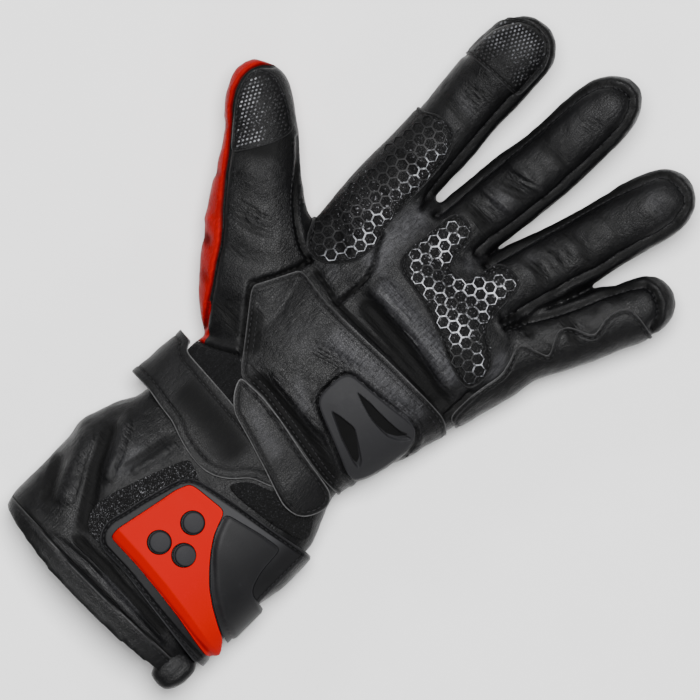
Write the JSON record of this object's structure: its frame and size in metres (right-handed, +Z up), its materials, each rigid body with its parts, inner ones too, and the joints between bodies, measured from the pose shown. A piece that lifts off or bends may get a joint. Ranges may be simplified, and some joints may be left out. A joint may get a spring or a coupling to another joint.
{
  "type": "winter motorcycle glove",
  "caption": "Padded leather motorcycle glove for the left hand with a long cuff, palm slider, grip panels, wrist strap and a closure flap with moulded plates.",
  "frame": {"origin": "on the flat patch at the middle of the hand's back, where the glove rests", "axes": "+Y toward the middle fingertip, +X toward the little finger side, +Z up out of the palm"},
  "size_m": [0.2138, 0.333, 0.0595],
  "materials": {
    "leather": "soft full-grain leather, black",
    "red_leather": "soft grained leather, red",
    "grip": "printed grip cells on leather",
    "touch": "pebbled touch patch",
    "slider": "moulded slider, satin",
    "moulding": "soft moulding, satin",
    "grey_plate": "moulded plate, satin",
    "red_plate": "moulded plate, semi-gloss",
    "knit": "shirred elastic fabric",
    "loop_pile": "loop pile of a touch fastener"
  },
  "bodies": {
    "root": {"palm_shell": "leather", "back_shell": "leather", "index_front": "leather", "middle_front": "leather", "ring_front": "leather", "little_front": "leather", "index_back": "leather", "middle_back": "leather", "ring_back": "leather", "little_back": "leather", "cuff_fold": "leather", "fourchette_index_middle": "leather", "fourchette_middle_ring": "leather", "fourchette_ring_little": "leather", "thumb_front": "leather", "thumb_web": "leather", "heel_panel": "leather", "side_panel": "leather", "cuff_shell": "leather", "cuff_hem": "leather", "wrist_strap": "leather", "wrist_tab": "leather", "flap": "leather", "thumb_back": "red_leather", "grip_index": "grip", "grip_palm": "grip", "touch_index": "touch", "touch_thumb": "touch", "palm_slider": "slider", "flap_frame": "moulding", "stud_1": "moulding", "stud_2": "moulding", "stud_3": "moulding", "flap_shell": "grey_plate", "flap_inlay": "red_plate", "wrist_gusset": "knit", "wrist_loop_pad": "loop_pile", "cuff_loop_pad": "loop_pile"}
  },
  "joints": []
}
